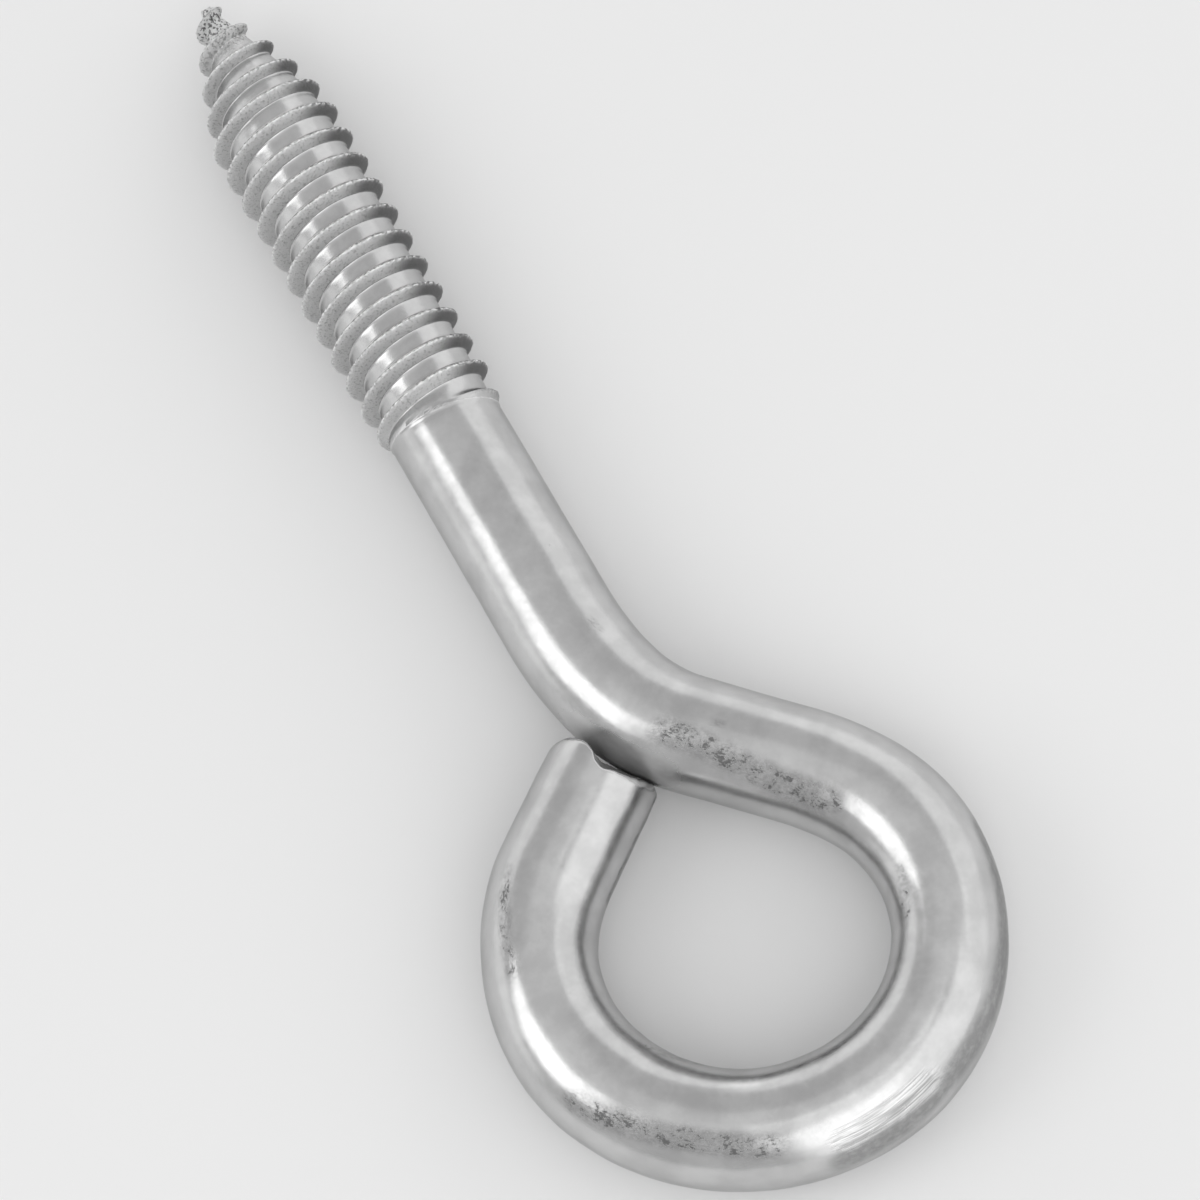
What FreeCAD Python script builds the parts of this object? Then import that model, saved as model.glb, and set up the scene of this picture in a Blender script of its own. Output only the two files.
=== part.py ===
"""Lag-thread eye bolt (screw eye), bent from one length of round steel rod. Millimetres and degrees.

Frame: the eye lies in the XY plane with its centre at the origin. +X runs from there along the shank
to the point, and +Z is square to the eye. The neck steps over to the -Y side before the eye turns back.

The real object is a single piece. Its nodes are the zones of that one rod, met face to face:
point, thread, plain shank, neck and eye.
"""

import FreeCAD, Part
import math
import os

os.makedirs("parts", exist_ok=True)

# Rod and overall layout
ROD_DIAMETER = 9.525
NECK_START_X = 30.2
SHANK_LENGTH = 19.2
THREAD_LENGTH = 43.2
POINT_LENGTH = 13.0

# Bends as (radius of the rod's centreline, angle turned), in order from the shank to the free end
NECK_BENDS = ((29.0, 15.0), (15.0, 27.0))
NECK_RUN = 9.2
EYE_BENDS = ((26.0, 12.5), (14.15, 114.4), (17.46, 74.1), (14.7, 75.7))
TAIL_LENGTH = 9.0
SHEARED_EDGE_CHAMFER = 0.6

# Rolled right-hand lag thread, with a gimlet point
CREST_DIAMETER = 10.86
ROOT_DIAMETER = 8.6
THREAD_PITCH = 2.64
CREST_PHASE_X = 66.87  # a crest passes the +Y side of the axis here
CREST_WIDTH = 0.08  # share of the pitch
ROOT_WIDTH = 0.34  # share of the pitch
RUNOUT_LENGTH = 1.8
POINT_BLUNTNESS = 0.16  # the tip's diameter as a share of the full diameter
POINT_ROOT_POWER = 1.3  # above 1, the root tapers faster than the crest

# Control points of the threaded surface
STATIONS_PER_PITCH = 16
POINTS_ROUND = 48
SPLINE_DEGREE = 3

SHANK_HEADING = 180.0  # the centreline is followed from the shank towards the eye
TOUCHING = 0.01

ROD_RADIUS = ROD_DIAMETER / 2
THREAD_START_X = NECK_START_X + SHANK_LENGTH
TIP_X = THREAD_START_X + THREAD_LENGTH
POINT_START_X = TIP_X - POINT_LENGTH


def smooth_step(value):
    """0 below 0, 1 above 1, and a smooth rise between."""
    t = min(max(value, 0.0), 1.0)
    return t * t * (3 - 2 * t)


def thread_radius(x, angle):
    """Radius of the threaded surface at x, at an angle in radians about +X measured from +Y to +Z."""
    turn = (x - CREST_PHASE_X) / THREAD_PITCH - angle / math.tau
    from_crest = abs((turn + 0.5) % 1 - 0.5)
    flank = 0.5 - (CREST_WIDTH + ROOT_WIDTH) / 2
    depth = smooth_step((from_crest - CREST_WIDTH / 2) / flank)
    run_in = smooth_step((x - THREAD_START_X) / RUNOUT_LENGTH)
    from_tip = min((TIP_X - x) / POINT_LENGTH, 1.0)
    # the point's outline lies midway between a straight cone and a sine curve
    fullness = (from_tip + math.sin(math.pi / 2 * from_tip)) / 2
    taper = POINT_BLUNTNESS + (1 - POINT_BLUNTNESS) * fullness
    crest = CREST_DIAMETER / 2 * taper
    root = ROOT_DIAMETER / 2 * taper**POINT_ROOT_POWER
    threaded = crest + (root - crest) * depth
    return ROD_RADIUS + (threaded - ROD_RADIUS) * run_in


def threaded_solid(start_x, end_x):
    """The threaded rod between two X positions: one smooth spline surface round X, closed by flat ends."""
    spans = round((end_x - start_x) / THREAD_PITCH * STATIONS_PER_PITCH)
    step = math.tau / POINTS_ROUND
    # a cubic spline passes inside its control points by this share of the radius
    outward = 3 / (2 + math.cos(step))
    rows = []
    for i in range(POINTS_ROUND):
        angle = i * step
        row = []
        for j in range(spans + 1):
            x = start_x + (end_x - start_x) * j / spans
            radius = thread_radius(x, angle) * outward
            row.append(FreeCAD.Vector(x, radius * math.cos(angle), radius * math.sin(angle)))
        rows.append(row)
    surface = Part.BSplineSurface()
    knots_round = [float(i) for i in range(POINTS_ROUND + 1)]
    knots_along = [float(j) for j in range(spans - SPLINE_DEGREE + 2)]
    end_knot = [SPLINE_DEGREE + 1]
    surface.buildFromPolesMultsKnots(
        rows,
        [1] * (POINTS_ROUND + 1),
        end_knot + [1] * (spans - SPLINE_DEGREE) + end_knot,
        knots_round,
        knots_along,
        True,
        False,
        SPLINE_DEGREE,
        SPLINE_DEGREE,
    )
    side = surface.toShape()
    faces = [side]
    for edge in side.Edges:
        if edge.isClosed():
            faces.append(Part.Face(Part.Wire(edge)))
    shell = Part.makeShell(faces)
    shell.sewShape()
    return Part.makeSolid(shell)


def travel(position, heading, distance):
    """The point reached from position by going straight on. Headings are degrees from +X towards +Y."""
    angle = math.radians(heading)
    return position + FreeCAD.Vector(math.cos(angle), math.sin(angle), 0) * distance


def run_edge(position, heading, length):
    """A straight stretch of centreline. Returns its edge, its end and its heading."""
    end = travel(position, heading, length)
    return Part.LineSegment(position, end).toShape(), end, heading


def bend_edge(position, heading, radius, turned):
    """An arc of centreline, tangent to the heading. Positive angles turn from +X towards +Y."""
    side = math.copysign(90, turned)
    centre = travel(position, heading + side, radius)
    middle = travel(centre, heading - side + turned / 2, radius)
    end = travel(centre, heading - side + turned, radius)
    return Part.Arc(position, middle, end).toShape(), end, heading + turned


def rod_along(edges, start, heading):
    """The rod swept along tangent edges that begin at start."""
    direction = travel(FreeCAD.Vector(), heading, 1)
    section = Part.Wire(Part.makeCircle(ROD_RADIUS, start, direction))
    return Part.Wire(edges).makePipeShell([section], True, False)


def make_plain_shank():
    start = FreeCAD.Vector(NECK_START_X, 0, 0)
    return Part.makeCylinder(ROD_RADIUS, SHANK_LENGTH, start, FreeCAD.Vector(1, 0, 0))


def neck_route():
    """Centreline of the neck from the shank to the eye: two bends, then a short straight run."""
    position = FreeCAD.Vector(NECK_START_X, 0, 0)
    heading = SHANK_HEADING
    edges = []
    for radius, turned in NECK_BENDS:
        edge, position, heading = bend_edge(position, heading, radius, turned)
        edges.append(edge)
    edge, position, heading = run_edge(position, heading, NECK_RUN)
    edges.append(edge)
    return edges, position, heading


def make_neck_bend():
    edges, _, _ = neck_route()
    return rod_along(edges, FreeCAD.Vector(NECK_START_X, 0, 0), SHANK_HEADING)


def make_eye_loop():
    """The round eye, from the neck to the sheared free end, whose edge is broken by a chamfer."""
    _, start, start_heading = neck_route()
    position, heading = start, start_heading
    edges = []
    for radius, turned in EYE_BENDS:
        edge, position, heading = bend_edge(position, heading, radius, -turned)
        edges.append(edge)
    edge, position, heading = run_edge(position, heading, TAIL_LENGTH)
    edges.append(edge)
    loop = rod_along(edges, start, start_heading)
    free_edges = [e for e in loop.Edges if e.CenterOfMass.distanceToPoint(position) < TOUCHING]
    return loop.makeChamfer(SHEARED_EDGE_CHAMFER, free_edges)


NODES = {
    "gimlet_point": threaded_solid(POINT_START_X, TIP_X),
    "lag_thread": threaded_solid(THREAD_START_X, POINT_START_X),
    "plain_shank": make_plain_shank(),
    "neck_bend": make_neck_bend(),
    "eye_loop": make_eye_loop(),
}

for name, shape in NODES.items():
    shape.exportStep("parts/" + name + ".step")
    print(name, "valid", shape.isValid(), "solids", len(shape.Solids), "volume", round(shape.Volume, 1))
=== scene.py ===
import math

import bpy
import numpy as np
from mathutils import Matrix, Vector


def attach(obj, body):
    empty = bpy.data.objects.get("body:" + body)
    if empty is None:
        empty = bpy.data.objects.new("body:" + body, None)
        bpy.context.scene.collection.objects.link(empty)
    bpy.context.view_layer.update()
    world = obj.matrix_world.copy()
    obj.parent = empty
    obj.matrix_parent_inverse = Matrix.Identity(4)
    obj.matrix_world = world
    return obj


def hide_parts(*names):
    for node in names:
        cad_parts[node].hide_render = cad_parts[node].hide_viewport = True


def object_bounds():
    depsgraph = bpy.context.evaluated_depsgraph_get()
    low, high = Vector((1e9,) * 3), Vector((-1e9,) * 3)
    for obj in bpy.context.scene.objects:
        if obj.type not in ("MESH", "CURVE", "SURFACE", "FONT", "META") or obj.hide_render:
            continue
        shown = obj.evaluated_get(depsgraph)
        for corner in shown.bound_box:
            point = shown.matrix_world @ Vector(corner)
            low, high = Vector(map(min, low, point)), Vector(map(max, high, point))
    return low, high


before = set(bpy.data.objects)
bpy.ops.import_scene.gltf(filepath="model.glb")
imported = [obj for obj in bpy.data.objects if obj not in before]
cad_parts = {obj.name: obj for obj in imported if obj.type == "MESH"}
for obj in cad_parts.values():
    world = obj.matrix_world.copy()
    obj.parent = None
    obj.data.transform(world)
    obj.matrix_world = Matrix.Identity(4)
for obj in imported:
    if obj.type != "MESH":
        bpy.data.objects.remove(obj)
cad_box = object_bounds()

MM = 0.001
TAU = math.tau

# ---- The rod, as the CAD model has it (mm, degrees) ----
ROD_RADIUS = 9.525 / 2
NECK_START_X = 30.2
SHANK_LENGTH = 19.2
THREAD_LENGTH = 43.2
POINT_LENGTH = 13.0
NECK_BENDS = ((29.0, 15.0), (15.0, 27.0))
NECK_RUN = 9.2
EYE_BENDS = ((26.0, -12.5), (14.15, -114.4), (17.46, -74.1), (14.7, -75.7))
TAIL_LENGTH = 9.0
CREST_RADIUS = 10.86 / 2
ROOT_RADIUS = 8.6 / 2
PITCH = 2.64
CREST_PHASE_X = 66.87
RUNOUT_LENGTH = 1.8
POINT_BLUNTNESS = 0.16
POINT_ROOT_POWER = 1.3
THREAD_START_X = NECK_START_X + SHANK_LENGTH
TIP_X = THREAD_START_X + THREAD_LENGTH

# ---- Details that the CAD model leaves out (mm, degrees) ----
# Width of the formed rod in the plane of the eye, as a share of the round rod, by distance from the
# neck's start
FORMED_WIDTH = (
    (-19.2, 0.985),
    (-5.0, 0.99),
    (3.0, 1.0),
    (11.0, 1.003),
    (19.0, 0.985),
    (26.0, 0.99),
    (34.0, 0.995),
    (43.5, 0.955),
    (55.0, 1.02),
    (67.5, 1.0),
    (81.0, 1.022),
    (92.0, 0.968),
    (98.5, 1.005),
    (103.0, 0.992),
    (110.0, 0.985),
)

# The thread's profile: share of the pitch from the ridge's middle, towards the point, and share of the height
PROFILE = (
    (-0.5, 0.0), (-0.36, 0.0), (-0.29, 0.01), (-0.25, 0.035), (-0.22, 0.09), (-0.19, 0.20), (-0.16, 0.37),
    (-0.116, 0.60), (-0.073, 0.79), (-0.037, 0.91), (-0.01, 0.97), (0.02, 1.0), (0.045, 0.98), (0.07, 0.90),
    (0.10, 0.72), (0.14, 0.38), (0.17, 0.14), (0.19, 0.04), (0.22, 0.0), (0.5, 0.0),
)  # fmt: skip
ROOT_DRIFT = 0.2  # the root stands this much further to -Y than the crest
# The beaded seams on the crest: place and half-width as shares of the pitch, and strength
SEAMS = ((0.003, 0.042, 1.0), (0.07, 0.026, 0.75))
SEAM_HEIGHT = 0.07
HAIRLINE_PLACE = 0.038  # the fine groove between the two seams
HAIRLINE_WIDTH = 0.02
HAIRLINE_DEPTH = 0.04
GRAINY_LENGTH = 6.5  # the crest turns grainy over this length before the tip
# How far the thread's axis has wandered to -Y, by X
AXIS_DRIFT = ((50, 0), (60, 0.09), (72, 0.18), (79, 0.1), (86, 0.32), (93, 0.28))

# The lip where the thread rollers stopped
LIP_SLANT = 0.5  # the lip runs this far out of square to the shank
LIP_SLANT_FADE = 4.0  # the mesh rows are square to the shank again after this length
LIP_HEIGHT = 0.05
LIP_FADE = 0.12

# The ragged tip: two lumps of torn metal, as (y, z, half-width, height)
TIP_LUMPS = ((0.5, 0.1, 0.36, 0.75), (-0.5, 0.1, 0.32, 0.62))
TIP_ROW_X = TIP_X - 0.25  # the thread's last row, where the tip begins
TIP_SINK = 0.35  # the metal between the lumps is sunk this far

# The sheared end's top edge: place across the rod, from the eye's outer side (-) to its inner side (+),
# and how far the edge is torn back there
TORN_EDGE = (
    (-4.8, 0.5), (-4.2, 0.25), (-3.6, -0.04), (-3.0, -0.3), (-2.2, -0.45), (-1.4, -0.36), (-0.8, -0.1),
    (-0.2, 0.3), (0.3, 0.8), (0.7, 1.08), (1.2, 1.08), (2.5, 0.75), (3.7, 0.3), (4.7, 0.1),
)  # fmt: skip
END_LENGTH = 2.4  # the rod's rows lean over to the sheared face in this length
END_SQUASH = 0.05  # the shears narrowed the end by this much at each side
END_ROUNDING = 0.22
END_ROUNDING_OUTER = 1.15  # extra rounding at the eye's outer side
END_ROUNDING_INNER = 0.6
NECK_GAP = 0.07  # the end stays at least this far from the neck
PULL_BACK = 0.04  # the step by which it is pulled back to keep that gap
SPARE_LINE = 3.0  # the centreline is followed this far past the free end

# Worn places and a strip of painted shade: kind, path as (distance from the neck's start, angle in degrees),
# half-width in mm and strength
MARKS = (
    ("pits", ((14.0, 74), (17.0, 72), (20.5, 64), (24.0, 56), (27.0, 55), (28.8, 57)), 1.1, 1.0),
    ("pits", ((65.8, 121), (69.8, 115), (72.2, 114), (75.8, 117), (78.2, 122), (80.2, 127)), 0.95, 1.0),
    ("pits", ((90.5, 109), (94.2, 115), (97.5, 124)), 0.6, 0.8),
    ("pits", ((71.5, 13), (75.0, 20), (79.0, 34)), 0.6, 0.7),
    ("pits", ((38.5, 60), (43.5, 50)), 0.55, 0.7),
    ("pits", ((3.2, 117), (3.9, 119)), 0.28, 1.0),
    ("pits", ((17.6, 95), (17.9, 95)), 0.25, 1.0),
    ("scuff", ((55.0, 137), (58.0, 133), (61.2, 136)), 1.0, 1.0),
    ("dull", ((8.6, 20), (11.0, 24), (13.6, 26)), 1.7, 1.0),
    # painted shade: a dark strip along the eye's outer side
    (
        "stain_and_painted_shade",
        ((38.0, 168), (43.0, 166), (48.0, 161), (51.5, 155), (54.5, 152), (58.0, 156), (61.5, 160)),
        1.25,
        0.85,
    ),
    # a real stain at the tail
    ("stain_and_painted_shade", ((98.5, 357), (103.0, 356), (108.6, 352)), 0.5, 0.9),
    ("pits", ((98.5, 357), (103.0, 356), (108.6, 352)), 0.6, 0.8),
)
MARK_KINDS = ("pits", "scuff", "stain_and_painted_shade", "dull")
# The side of the thread where the ridges are darkened with painted shade, by angle round the rod
SHADE_START = 112
SHADE_FULL = 150
SHADE_FADE = 195
SHADE_END = 215
SCUFF_DEPTH = 0.12
STAIN_AND_SHADE_DENT = 0.05

# ---- Density of the mesh ----
COLUMNS = 144
ROW_STEP = 0.5
# Rows of vertices within one pitch of thread, as shares of the pitch from the crest's middle
PITCH_ROWS = (
    -0.5, -0.40, -0.33, -0.285, -0.26, -0.24, -0.22, -0.20, -0.18, -0.15, -0.115, -0.08,
    -0.05, -0.03, -0.014, 0.003, 0.02, 0.036, 0.052, 0.07, 0.105, 0.15, 0.22, 0.34,
)  # fmt: skip
LIP_ROWS = (0.08, 0.16, 0.26, 0.4, 0.6, 0.85, 1.15, 1.5, 1.9, 2.35)
TIP_RINGS = 12
END_BODY_RINGS = 7
END_ROUNDING_RINGS = 7
END_FACE_RINGS = 14
ROW_CLEARANCE = 0.04  # thread rows closer than this to an end row are merged into it

rng = np.random.default_rng(7)


def smooth(value):
    t = np.clip(value, 0.0, 1.0)
    return t * t * (3 - 2 * t)


def bump_at(value, centre, width):
    return np.exp(-(((value - centre) / width) ** 2))


def between(value, pairs):
    """The value looked up in (place, amount) pairs, with straight lines between them."""
    return np.interp(value, [p[0] for p in pairs], [p[1] for p in pairs])


class Waves:
    """Smooth seeded noise in three dimensions, about -1 to 1."""

    def __init__(self, size, count=28):
        d = rng.normal(size=(count, 3))
        d /= np.linalg.norm(d, axis=1)[:, None]
        self.k = d * (TAU / size) * rng.uniform(0.6, 1.6, count)[:, None]
        self.p = rng.uniform(0, TAU, count)

    def __call__(self, a, b, c):
        q = np.stack(np.broadcast_arrays(a, b, c), -1).astype(float)
        return np.sin(q @ self.k.T + self.p).sum(-1) * math.sqrt(2 / len(self.p)) * 0.6


# The first waves aren't used, but the seeded draws that follow depend on theirs
_, wave_mid, wave_small, wave_fine = [Waves(size) for size in (16.0, 4.0, 1.1, 0.45)]


# ---- Centreline from the thread's start to the free end ----
def centreline():
    """Distance from the neck's start, x, y and heading in radians of closely spaced points."""
    rows = []
    x, y, heading, s = THREAD_START_X, 0.0, math.pi, -SHANK_LENGTH
    stretches = [(None, SHANK_LENGTH)]
    stretches += [(r, math.radians(a)) for r, a in NECK_BENDS]
    stretches += [(None, NECK_RUN)]
    stretches += [(r, math.radians(a)) for r, a in EYE_BENDS]
    stretches += [(None, TAIL_LENGTH + SPARE_LINE)]
    rows.append((s, x, y, heading))
    for radius, amount in stretches:
        length = amount if radius is None else abs(amount) * radius
        steps = max(2, math.ceil(length / 0.05))
        x0, y0, h0, s0 = x, y, heading, s
        for i in range(1, steps + 1):
            t = i / steps
            s = s0 + length * t
            if radius is None:
                x, y = x0 + math.cos(h0) * length * t, y0 + math.sin(h0) * length * t
            else:
                side = math.copysign(1, amount)
                heading = h0 + amount * t
                x = x0 + radius * side * (math.sin(heading) - math.sin(h0))
                y = y0 - radius * side * (math.cos(heading) - math.cos(h0))
            rows.append((s, x, y, heading))
    return np.array(rows)


LINE = centreline()
LINE_END = LINE[-1, 0] - SPARE_LINE
NECK_LINE = LINE[(LINE[:, 0] > -2) & (LINE[:, 0] < 40)]


def at(s):
    """x, y and heading of the centreline at distance s."""
    return tuple(np.interp(s, LINE[:, 0], LINE[:, i]) for i in (1, 2, 3))


def place(s, radius, angle):
    """Points of the rod at distance s. The angle turns from the side of the eye's centre to +Z."""
    x, y, heading = at(s)
    side = radius * np.cos(angle)
    return np.stack(
        [x + side * np.sin(heading), y - side * np.cos(heading), radius * np.sin(angle)], -1
    )


def unbent(s, radius, angle):
    """The same points on the rod before it was bent, where the material's textures lie."""
    return np.stack(np.broadcast_arrays(s, radius * np.cos(angle), radius * np.sin(angle)), -1)


# ---- Shape of the surface ----
def helix_phase(x, angle):
    return (x - CREST_PHASE_X) / PITCH - angle / TAU


def taper(x):
    t = np.clip((TIP_X - x) / POINT_LENGTH, 0.0, 1.0)
    return POINT_BLUNTNESS + (1 - POINT_BLUNTNESS) * (t + np.sin(np.pi / 2 * t)) / 2


def sideways(x):
    """The rolled thread runs slightly off the shank's axis, most of all at the point."""
    return -between(x, AXIS_DRIFT)


def on_thread(x, radius, angle):
    """Points of the threaded rod."""
    return np.stack([x, radius * np.cos(angle) + sideways(x), radius * np.sin(angle)], -1)


def lip_x(angle):
    """Where the thread rollers stopped: a line a little out of square to the shank."""
    return THREAD_START_X + LIP_SLANT * np.cos(angle)


def thread_shape(x, angle):
    """Radius of the threaded rod, and how far each point has crest, seam, hairline and tip grain."""
    phase = (helix_phase(x, angle) + 0.5) % 1 - 0.5
    height = between(phase, PROFILE)
    run_in = smooth((x - lip_x(angle)) / RUNOUT_LENGTH)
    thin = taper(x)
    crest = CREST_RADIUS * thin
    root = ROOT_RADIUS * thin**POINT_ROOT_POWER - ROOT_DRIFT * thin * np.cos(angle) * run_in
    radius = ROD_RADIUS + (root + (crest - root) * height - ROD_RADIUS) * run_in
    waves = wave_fine(x, radius * np.cos(angle), radius * np.sin(angle))
    # the seams' beads come and go at random
    ragged = np.clip(0.65 + 0.5 * waves + 0.3 * rng.normal(size=np.shape(x)), 0.0, 1.4)
    beads = smooth(2.4 * ragged - 0.65)
    seam = sum(strength * bump_at(phase, centre, width) * beads for centre, width, strength in SEAMS)
    hairline = bump_at(phase, HAIRLINE_PLACE, HAIRLINE_WIDTH) * smooth(2.0 * ragged - 0.5)
    on_crest = smooth((phase + 0.25) / 0.04) * smooth((0.16 - phase) / 0.06) * run_in
    near_tip = smooth((x - (TIP_X - GRAINY_LENGTH)) / 4.0)
    rough = 0.014 * waves + 0.012 * rng.normal(size=np.shape(x))
    radius = radius + run_in * thin * (SEAM_HEIGHT * seam - HAIRLINE_DEPTH * hairline)
    radius = radius + on_crest * rough * (0.5 + 2.5 * near_tip)
    return radius, on_crest, np.clip(seam, 0, 1) * run_in, hairline * run_in, near_tip * run_in


def wear(kind, s, angle):
    """How worn the surface is, 0 to 1, by the marks of one kind."""
    total = np.zeros(np.broadcast(s, angle).shape)
    for name, path, half_width, strength in MARKS:
        if name == kind:
            middle = np.radians(between(s, path))
            across = np.abs((angle - middle + np.pi) % TAU - np.pi) * ROD_RADIUS
            beyond = np.maximum(path[0][0] - s, s - path[-1][0])
            away = np.hypot(across, np.maximum(beyond, 0.0)) / half_width
            total = np.maximum(total, strength * smooth(1.5 - away))
    return total


def formed_radius(s, angle):
    """Radius of the plain rod: slightly out of round where it was bent, with its flats and dents."""
    width = between(s, FORMED_WIDTH)
    a, b = ROD_RADIUS * width, ROD_RADIUS / width
    radius = a * b / np.hypot(b * np.cos(angle), a * np.sin(angle))
    radius = radius + 0.012 * wave_mid(s, 4 * np.cos(angle), 4 * np.sin(angle))
    dent = SCUFF_DEPTH * wear("scuff", s, angle) + STAIN_AND_SHADE_DENT * wear("stain_and_painted_shade", s, angle)
    return radius - dent


# ---- One closed mesh of the whole rod ----
points = []
rod_space = []
masks = {"crest": [], "seam": [], "hairline": [], "tip_grain": [], "cut": []}
faces = []
angles = np.arange(COLUMNS) * TAU / COLUMNS


def add(place_mm, unbent_mm, crest=0.0, seam=0.0, hairline=0.0, tip_grain=0.0, cut=0.0):
    """Adds vertices and returns their numbers."""
    first = sum(len(p) for p in points)
    shape = place_mm.shape[:-1]
    points.append(place_mm.reshape(-1, 3))
    rod_space.append(np.broadcast_to(unbent_mm, place_mm.shape).reshape(-1, 3))
    for name, value in zip(masks, (crest, seam, hairline, tip_grain, cut)):
        masks[name].append(np.broadcast_to(value, shape).reshape(-1))
    return first + np.arange(int(np.prod(shape))).reshape(shape)


def join_rows(lower, upper):
    """Faces between two closed rows of vertices."""
    for j in range(COLUMNS):
        k = (j + 1) % COLUMNS
        faces.append((lower[j], upper[j], upper[k], lower[k]))


def face_of(corners):
    """A face through the corners, less any that repeat."""
    kept = []
    for c in corners:
        if c not in kept:
            kept.append(c)
    if len(kept) > 2:
        faces.append(tuple(kept))


def build_thread():
    """The helical rows of the thread, clipped at the shank and at the tip. Returns those two end rows."""
    low_x = lip_x(angles)
    start = -SHANK_LENGTH + 0 * angles
    low_r = formed_radius(start, angles) + LIP_HEIGHT
    low_spots = place(start, low_r, angles)
    low_spots[:, 0] += low_x - THREAD_START_X
    low = add(low_spots, unbent(NECK_START_X - low_x, low_r, angles), seam=0.5)
    high_x = np.full(COLUMNS, TIP_ROW_X)
    high_r, *high_masks = thread_shape(high_x, angles)
    high_unbent = unbent(NECK_START_X - high_x, high_r, angles)
    high = add(on_thread(high_x, high_r, angles), high_unbent, *high_masks)
    first_turn = math.floor((THREAD_START_X - CREST_PHASE_X) / PITCH) - 3
    last_turn = math.ceil((TIP_X - CREST_PHASE_X) / PITCH) + 2
    rows = [m + p for m in range(first_turn, last_turn) for p in PITCH_ROWS]
    per_turn = len(PITCH_ROWS)
    x = CREST_PHASE_X + PITCH * (np.array(rows)[:, None] + angles[None, :] / TAU)
    angle = np.broadcast_to(angles, x.shape)
    radius, *here = thread_shape(np.clip(x, THREAD_START_X - 1, TIP_X), angle)
    under = x < low_x[None, :] + ROW_CLEARANCE
    over = x > high_x[None, :] - ROW_CLEARANCE
    inside = ~(under | over)
    spots = on_thread(x, radius, angle)[inside]
    spots_unbent = unbent(NECK_START_X - x, radius, angle)[inside]
    numbers = np.full(x.shape, -1)
    numbers[inside] = add(spots, spots_unbent, *(mask[inside] for mask in here))
    numbers = np.where(under, low[None, :], numbers)
    numbers = np.where(over, high[None, :], numbers)
    last = len(rows) - per_turn - 1
    for i in range(last):
        for j in range(COLUMNS):
            if j + 1 < COLUMNS:
                a, b = numbers[i, j + 1], numbers[i + 1, j + 1]
            else:
                a, b = numbers[i + per_turn, 0], numbers[i + 1 + per_turn, 0]
            face_of((int(numbers[i, j]), int(a), int(b), int(numbers[i + 1, j])))
    return low, high


def close_tip(row):
    """The ragged tip: two grainy lumps of torn metal with a notch between them."""
    previous = row
    base_r = thread_shape(np.full(COLUMNS, TIP_ROW_X), angles)[0]
    for k in range(1, TIP_RINGS + 1):
        share = 1 - k / TIP_RINGS
        r = base_r * (share**0.8)
        y, z = r * np.cos(angles), r * np.sin(angles)
        lumps = 0.0
        for lump_y, lump_z, half_width, height in TIP_LUMPS:
            lumps = lumps + height * np.exp(-((np.hypot(y - lump_y, z - lump_z) / half_width) ** 2))
        x = TIP_ROW_X + (lumps - TIP_SINK) * smooth((1 - share) * 1.8)
        x = x + 0.07 * wave_fine(x * 1.5, y * 1.5, z * 1.5) + 0.04 * rng.normal(size=COLUMNS) * (share > 0)
        if k < TIP_RINGS:
            spots = np.stack([x, y + sideways(x), z], -1)
            ring = add(spots, unbent(NECK_START_X - x, r, angles), crest=1.0, seam=0.3, tip_grain=1.0)
            join_rows(ring, previous)
            previous = ring
        else:
            spot = np.array([[x.mean(), sideways(TIP_X), 0.0]])
            straight = np.array([[NECK_START_X - TIP_X, 0.0, 0.0]])
            middle = add(spot, straight, crest=1.0, seam=0.3, tip_grain=1.0)
            for j in range(COLUMNS):
                faces.append((int(middle[0]), int(previous[j]), int(previous[(j + 1) % COLUMNS])))


def build_rod(row):
    """Rows from the thread's start round the neck and eye to the free end."""
    end_zone = LINE_END - END_LENGTH
    s_rows = [-SHANK_LENGTH + t for t in LIP_ROWS]
    count = math.ceil((end_zone - s_rows[-1]) / ROW_STEP)
    s_rows += list(np.linspace(s_rows[-1], end_zone, count + 1)[1:])
    previous = row
    for s in s_rows:
        back = s + SHANK_LENGTH
        shift = LIP_SLANT * np.cos(angles) * (1 - smooth(back / LIP_SLANT_FADE))
        own = s - shift
        radius = formed_radius(own, angles)
        radius = radius + LIP_HEIGHT * np.exp(-back / LIP_FADE) - 0.03 * bump_at(back, 0.3, 0.15)
        spots = place(np.maximum(own, -SHANK_LENGTH), radius, angles)
        spots[:, 0] += np.maximum(-SHANK_LENGTH - own, 0.0)
        ring = add(spots, unbent(own, radius, angles))
        join_rows(previous, ring)
        previous = ring
    return previous, s_rows[-1]


def end_face(b, z):
    """How far the sheared face stands from the rod's nominal end, at b across and z up."""
    face = 0.1 - between(b, TORN_EDGE) * smooth((z - 0.1) / 2.6)
    return face + 0.04 * wave_small(b, z, 0 * b) + 0.02 * wave_fine(b, z, 0 * b)


def keep_clear(s, radius, angle):
    """Pulls the end back wherever it would come closer to the neck than the gap."""
    s = np.array(s, float)
    for _ in range(60):
        p = place(s, radius, angle)
        d = np.hypot(p[:, None, 0] - NECK_LINE[None, :, 1], p[:, None, 1] - NECK_LINE[None, :, 2]).min(1)
        near = np.hypot(d, p[:, 2]) < ROD_RADIUS * 1.005 + NECK_GAP
        if not near.any():
            break
        s[near] -= PULL_BACK
    return s


def add_end_ring(previous, s, radius, cut=0.0):
    """One more ring of the free end, joined to the one before it."""
    s = keep_clear(s, radius, angles)
    ring = add(place(s, radius, angles), unbent(s, radius, angles), cut=cut)
    join_rows(previous, ring)
    return ring


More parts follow.
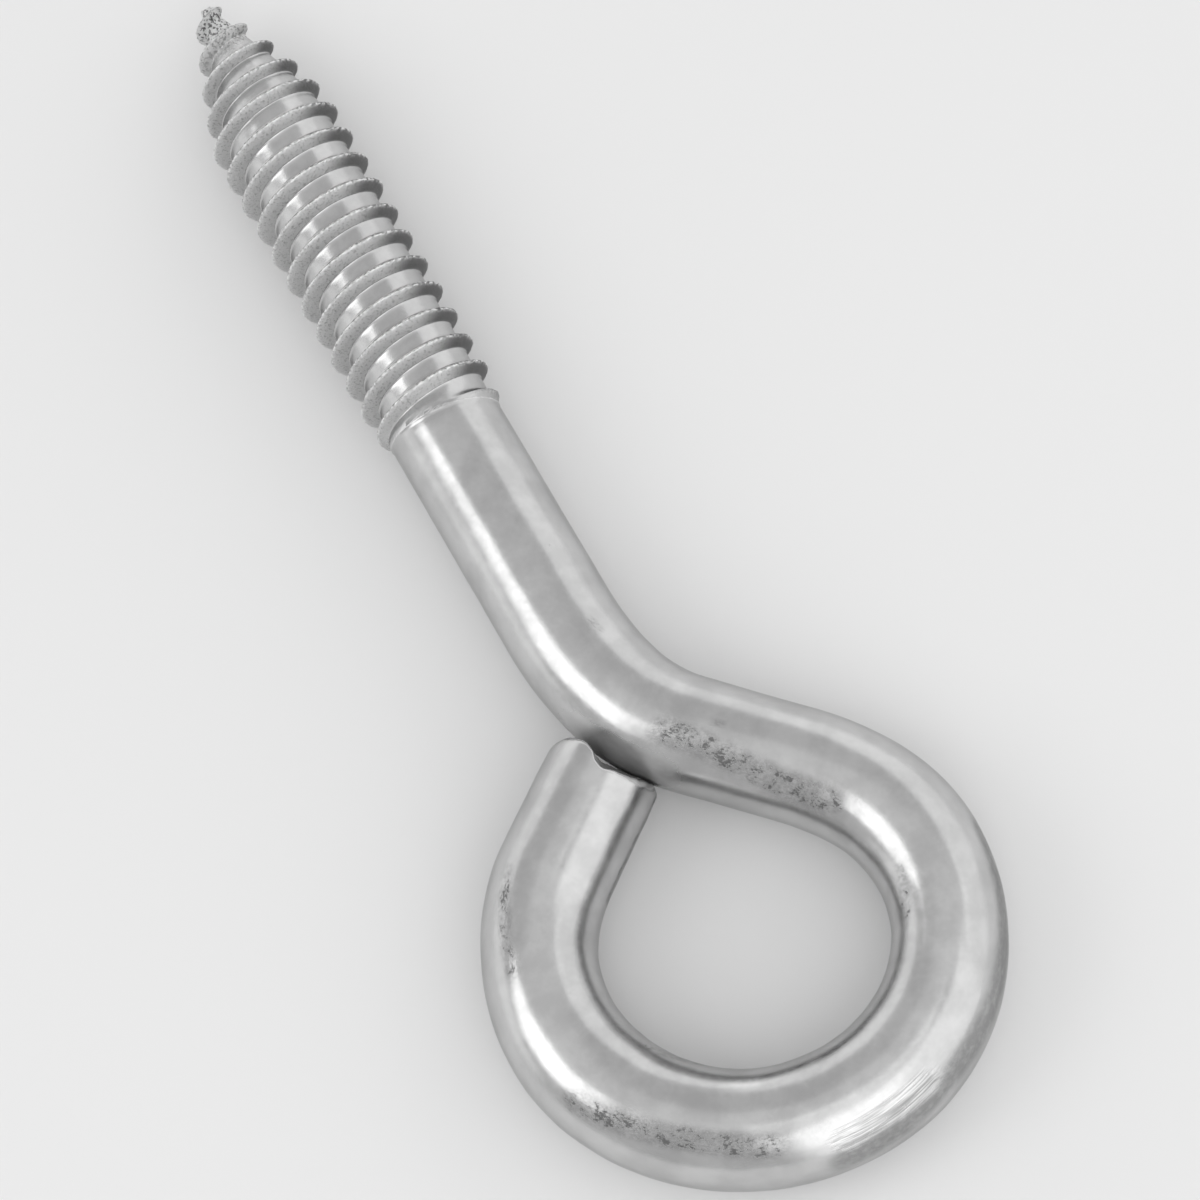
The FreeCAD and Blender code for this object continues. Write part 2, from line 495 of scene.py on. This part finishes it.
def close_free_end(row, start_s):
    """The sheared end: rounded over at the sides, with a torn notch in its top edge."""
    width = formed_radius(LINE_END + 0 * angles, angles)
    side = np.abs(np.cos(angles)) ** 1.5
    fillet = END_ROUNDING + side * np.where(np.cos(angles) < 0, END_ROUNDING_OUTER, END_ROUNDING_INNER)
    edge = end_face((width - fillet) * np.cos(angles), (width - fillet) * np.sin(angles))
    full = LINE_END + edge - fillet
    previous = row
    for k in range(1, END_BODY_RINGS + 1):
        t = k / END_BODY_RINGS
        radius = width - END_SQUASH * smooth(t) * side
        previous = add_end_ring(previous, start_s + (full - start_s) * t, radius)
    for k in range(1, END_ROUNDING_RINGS + 1):
        t = k / END_ROUNDING_RINGS * math.pi / 2
        inner = width - END_SQUASH * side - fillet * (1 - math.cos(t))
        previous = add_end_ring(previous, full + fillet * math.sin(t), inner)
    for k in range(1, END_FACE_RINGS):
        radius = inner * (1 - k / END_FACE_RINGS)
        s = LINE_END + end_face(radius * np.cos(angles), radius * np.sin(angles))
        previous = add_end_ring(previous, s, radius, cut=1.0)
    axis = np.array([0.0])
    s = keep_clear(np.array([LINE_END + 0.05]), axis, axis)
    middle = add(place(s, axis, axis), unbent(s, axis, axis), cut=1.0)
    for j in range(COLUMNS):
        faces.append((int(previous[j]), int(middle[0]), int(previous[(j + 1) % COLUMNS])))


low_row, high_row = build_thread()
close_tip(high_row)
last_row, last_s = build_rod(low_row)
close_free_end(last_row, last_s)

vertices = np.concatenate(points)
rod_mm = np.concatenate(rod_space)

mesh = bpy.data.meshes.new("eye_bolt_rod")
mesh.from_pydata((vertices * MM).tolist(), [], [tuple(int(i) for i in f) for f in faces])
mesh.validate(clean_customdata=False)
mesh.polygons.foreach_set("use_smooth", [True] * len(mesh.polygons))


def store(name, kind, values):
    """Keeps one value per vertex on the mesh, for the material."""
    attribute = mesh.attributes.new(name, kind, "POINT")
    field = "vector" if kind == "FLOAT_VECTOR" else "value"
    attribute.data.foreach_set(field, np.asarray(values, np.float32).ravel())


store("rod", "FLOAT_VECTOR", rod_mm)
for mask_name, parts in masks.items():
    store(mask_name, "FLOAT", np.concatenate(parts))
rod_s = rod_mm[:, 0]
rod_angle = np.arctan2(rod_mm[:, 2], rod_mm[:, 1])
degrees_round = np.degrees(rod_angle % TAU)
# painted shade on one side of the thread's ridges, by angle round the rod
shade_in = smooth((degrees_round - SHADE_START) / (SHADE_FULL - SHADE_START))
shade_out = smooth((SHADE_END - degrees_round) / (SHADE_END - SHADE_FADE))
store("shade", "FLOAT", shade_in * shade_out)
for mark_kind in MARK_KINDS:
    store(mark_kind, "FLOAT", wear(mark_kind, rod_s, rod_angle) * (rod_s > -SHANK_LENGTH))
mesh.update()
rod = bpy.data.objects.new("eye_bolt_rod", mesh)
bpy.context.scene.collection.objects.link(rod)


# ---- Material ----
def grey(value):
    return (value, value, value, 1.0)


class Graph:
    """Short ways to add and join shader nodes."""

    def __init__(self, material):
        material.use_nodes = True
        self.tree = material.node_tree
        self.tree.nodes.clear()

    def node(self, kind, **sockets):
        made = self.tree.nodes.new(kind)
        for key, value in sockets.items():
            self.put(made.inputs[key.replace("_", " ")], value)
        return made

    def put(self, socket, value):
        if isinstance(value, bpy.types.NodeSocket):
            self.tree.links.new(value, socket)
        else:
            socket.default_value = value

    def calc(self, operation, a, b):
        made = self.tree.nodes.new("ShaderNodeMath")
        made.operation = operation
        self.put(made.inputs[0], a)
        self.put(made.inputs[1], b)
        return made.outputs[0]

    def plus(self, a, b):
        return self.calc("ADD", a, b)

    def minus(self, a, b):
        return self.calc("SUBTRACT", a, b)

    def times(self, a, b):
        return self.calc("MULTIPLY", a, b)

    def most(self, a, b):
        return self.calc("MAXIMUM", a, b)

    def remap(self, value, low, high, to_low=0.0, to_high=1.0):
        made = self.tree.nodes.new("ShaderNodeMapRange")
        made.interpolation_type = "SMOOTHSTEP"
        for i, v in enumerate((value, low, high, to_low, to_high)):
            self.put(made.inputs[i], v)
        return made.outputs[0]

    def noise(self, vector, scale, detail=3.0, roughness=0.55):
        made = self.node("ShaderNodeTexNoise", Vector=vector, Scale=scale, Detail=detail, Roughness=roughness)
        return made.outputs["Fac"]

    def stretch(self, vector, x, y, z):
        made = self.tree.nodes.new("ShaderNodeVectorMath")
        made.operation = "MULTIPLY"
        self.put(made.inputs[0], vector)
        made.inputs[1].default_value = (x, y, z)
        return made.outputs[0]

    def mix(self, share, a, b):
        made = self.tree.nodes.new("ShaderNodeMix")
        made.data_type = "RGBA"
        self.put(made.inputs["Factor"], share)
        self.put(made.inputs[6], a)
        self.put(made.inputs[7], b)
        return made.outputs[2]

    def attribute(self, name, output="Fac"):
        made = self.tree.nodes.new("ShaderNodeAttribute")
        made.attribute_name = name
        return made.outputs[output]


def zinc_material():
    """Bright zinc plate: drawn rod, grainy thread crests, beaded seams, worn patches and a grainy tip, with
    painted shade on one side of the ridges, along the eye's outer side, in the hairline and on the sheared
    face, and painted glints on the seams.
    """
    material = bpy.data.materials.new("zinc_plated_steel")
    g = Graph(material)
    on_rod = g.attribute("rod", "Vector")
    crest, seam, hairline, tip_grain, cut = (g.attribute(name) for name in masks)
    pits, scuff, stain_and_painted_shade, dull = (g.attribute(name) for name in MARK_KINDS)

    clouds = g.noise(on_rod, 0.35, 4.0)
    mottle = g.noise(on_rod, 1.6, 4.0, 0.6)
    grain = g.noise(on_rod, 9.0, 3.0, 0.6)
    drawn = g.noise(g.stretch(on_rod, 0.25, 5.0, 5.0), 1.0, 2.0)
    coarse = g.noise(on_rod, 4.5, 4.0, 0.7)
    dots = g.noise(on_rod, 3.6, 2.0, 0.6)
    scratches = g.noise(g.stretch(on_rod, 0.2, 7.0, 7.0), 1.0, 3.0, 0.7)
    pit_noise = g.noise(g.stretch(on_rod, 0.8, 1.2, 1.2), 4.2, 4.0, 0.75)
    clusters = g.noise(on_rod, 1.1, 2.0)

    pit_level = g.plus(g.times(pit_noise, 0.6), g.times(clusters, 0.5))
    pitted = g.remap(g.plus(pit_level, g.times(pits, 0.2)), 0.75, 0.84)
    tarnish = g.times(pits, g.remap(pit_level, 0.42, 0.66, 0.1, 0.75))
    speckle = g.times(g.remap(coarse, 0.54, 0.62), crest)
    tip_speckle = g.times(g.remap(dots, 0.52, 0.57), tip_grain)
    # painted glints: the seam's beads get a near-white, less metallic colour
    painted_seam_glints = g.times(g.remap(dots, 0.36, 0.5), seam)
    stain_and_shade_share = g.times(stain_and_painted_shade, g.remap(mottle, 0.25, 0.6, 0.55, 1.0))
    shaded = g.times(g.attribute("shade"), crest)
    scratched = g.mix(g.remap(scratches, 0.35, 0.6), grey(0.3), grey(0.85))

    colour = g.mix(g.remap(clouds, 0.3, 0.7), grey(0.54), grey(0.63))
    coats = (
        (g.times(crest, 0.9), grey(0.6)),
        # painted shade on the ridges at one side of the thread
        (g.times(shaded, 0.86), grey(0.1)),
        (g.times(speckle, 0.6), grey(0.22)),
        # painted shade along the eye's outer side, and a real stain at the tail
        (g.times(stain_and_shade_share, 0.75), grey(0.2)),
        (g.times(scuff, 0.7), scratched),
        (tarnish, grey(0.27)),
        (g.times(pitted, 0.75), grey(0.12)),
        (g.times(tip_grain, 0.7), grey(0.95)),
        (g.times(tip_speckle, 0.85), grey(0.06)),
        # the sheared face: matt bare steel, its dark colour partly painted shade for the gap by the neck
        (cut, grey(0.36)),
        # painted glints on the seam's beads
        (painted_seam_glints, grey(0.95)),
        # painted shade in the hairline groove
        (g.times(hairline, g.remap(dots, 0.62, 0.42)), grey(0.06)),
    )
    for share, tone in coats:
        colour = g.mix(share, colour, tone)

    roughness = g.remap(mottle, 0.3, 0.7, 0.19, 0.26)
    rougher = ((crest, 0.12), (pitted, 0.2), (scuff, 0.08), (tip_grain, 0.1), (cut, 0.3), (dull, 0.3))
    for mask, more in rougher:
        roughness = g.plus(roughness, g.times(mask, more))

    unshaded = g.times(crest, g.minus(1.0, shaded))
    matt = g.most(g.most(painted_seam_glints, cut), g.times(unshaded, 0.6))
    matt = g.most(matt, g.times(tip_grain, 0.7))
    metallic = g.minus(1.0, g.times(matt, 0.65))

    # Relief in mm
    height = g.times(grain, 0.0025)
    layers = (
        (drawn, 0.002),
        (mottle, 0.005),
        (g.times(coarse, crest), 0.10),
        (g.times(coarse, tip_grain), 0.16),
        (pitted, -0.012),
        (g.times(scratches, scuff), 0.06),
    )
    for layer, amount in layers:
        height = g.plus(height, g.times(layer, amount))
    relief = g.node("ShaderNodeBump", Strength=1.0, Distance=MM, Height=height)

    shader = g.node(
        "ShaderNodeBsdfPrincipled",
        Base_Color=colour,
        Metallic=metallic,
        Specular_Tint=grey(0.72),
        Roughness=roughness,
        Normal=relief.outputs["Normal"],
    )
    g.node("ShaderNodeOutputMaterial", Surface=shader.outputs["BSDF"])
    return material


mesh.materials.append(zinc_material())
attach(rod, "root")
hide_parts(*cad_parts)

# ---- Floor (m) ----
FLOOR_HALF = 6.0
floor_z = cad_box[0].z
floor_corners = [
    (-FLOOR_HALF, -FLOOR_HALF, floor_z),
    (FLOOR_HALF, -FLOOR_HALF, floor_z),
    (FLOOR_HALF, FLOOR_HALF, floor_z),
    (-FLOOR_HALF, FLOOR_HALF, floor_z),
]
floor_mesh = bpy.data.meshes.new("floor")
floor_mesh.from_pydata(floor_corners, [], [(0, 1, 2, 3)])
floor = bpy.data.objects.new("floor", floor_mesh)
bpy.context.scene.collection.objects.link(floor)
floor_material = bpy.data.materials.new("pale_floor")
floor_graph = Graph(floor_material)
paper = floor_graph.node("ShaderNodeBsdfPrincipled", Base_Color=grey(0.84), Roughness=0.9)
floor_graph.node("ShaderNodeOutputMaterial", Surface=paper.outputs["BSDF"])
floor_mesh.materials.append(floor_material)

# ---- Camera ----
TARGET = Vector((30.0, -3.7, 0.0)) * MM
DISTANCE = 525.0 * MM
ELEVATION = math.radians(70.2)
ROLL = math.radians(30.48)
toward = Vector((-math.cos(ELEVATION), 0.0, math.sin(ELEVATION)))
level_right = Vector((0.0, -1.0, 0.0))
level_up = Vector((math.sin(ELEVATION), 0.0, math.cos(ELEVATION)))
right = math.cos(ROLL) * level_right - math.sin(ROLL) * level_up
up = math.sin(ROLL) * level_right + math.cos(ROLL) * level_up
camera_data = bpy.data.cameras.new("camera")
camera_data.sensor_width = 36.0
camera_data.lens = 197.4
camera_data.clip_start = 0.05
camera_data.clip_end = 20.0
camera = bpy.data.objects.new("camera", camera_data)
turn = Matrix((right, up, toward)).transposed().to_4x4()
camera.matrix_world = Matrix.Translation(TARGET + toward * DISTANCE) @ turn
bpy.context.scene.collection.objects.link(camera)
bpy.context.scene.camera = camera

# ---- Light (m) ----
LIGHT_DISTANCE = 0.9
# Name, direction as right, up and towards the camera, width, height, radiance, and spin in degrees
SOFTBOXES = (
    ("light_zenith", (-0.09, 0.409, 0.908), 0.49, 1.85, 0.19, -34.0),
    ("light_over", (0.126, -0.277, 0.953), 1.13, 0.47, 0.54, -91.0),
    ("light_lower", (0.618, -0.437, 0.653), 1.73, 1.42, 0.63, -87.0),
    ("light_left", (-0.814, -0.026, 0.58), 0.51, 0.46, 1.39, -57.0),
    ("light_rim_left", (-0.862, 0.474, -0.178), 2.32, 0.74, 0.43, -9.0),
    ("light_rim_right", (0.57, 0.82, -0.045), 2.34, 1.14, 0.47, -24.0),
)


def softbox(name, direction, width, height, radiance, spin):
    """A soft light panel that faces the object."""
    d = (right * direction[0] + up * direction[1] + toward * direction[2]).normalized()
    data = bpy.data.lights.new(name, "AREA")
    data.shape = "RECTANGLE"
    data.size = width
    data.size_y = height
    data.energy = radiance * math.pi * width * height
    lamp = bpy.data.objects.new(name, data)
    facing = d.to_track_quat("Z", "Y").to_matrix().to_4x4()
    spun = facing @ Matrix.Rotation(math.radians(spin), 4, "Z")
    lamp.matrix_world = Matrix.Translation(TARGET + d * LIGHT_DISTANCE) @ spun
    lamp.visible_camera = False
    bpy.context.scene.collection.objects.link(lamp)


for panel in SOFTBOXES:
    softbox(*panel)

world = bpy.data.worlds.new("studio")
world.use_nodes = True
world.node_tree.nodes["Background"].inputs[0].default_value = grey(0.598)
bpy.context.scene.world = world
bpy.context.scene.view_settings.view_transform = "Standard"
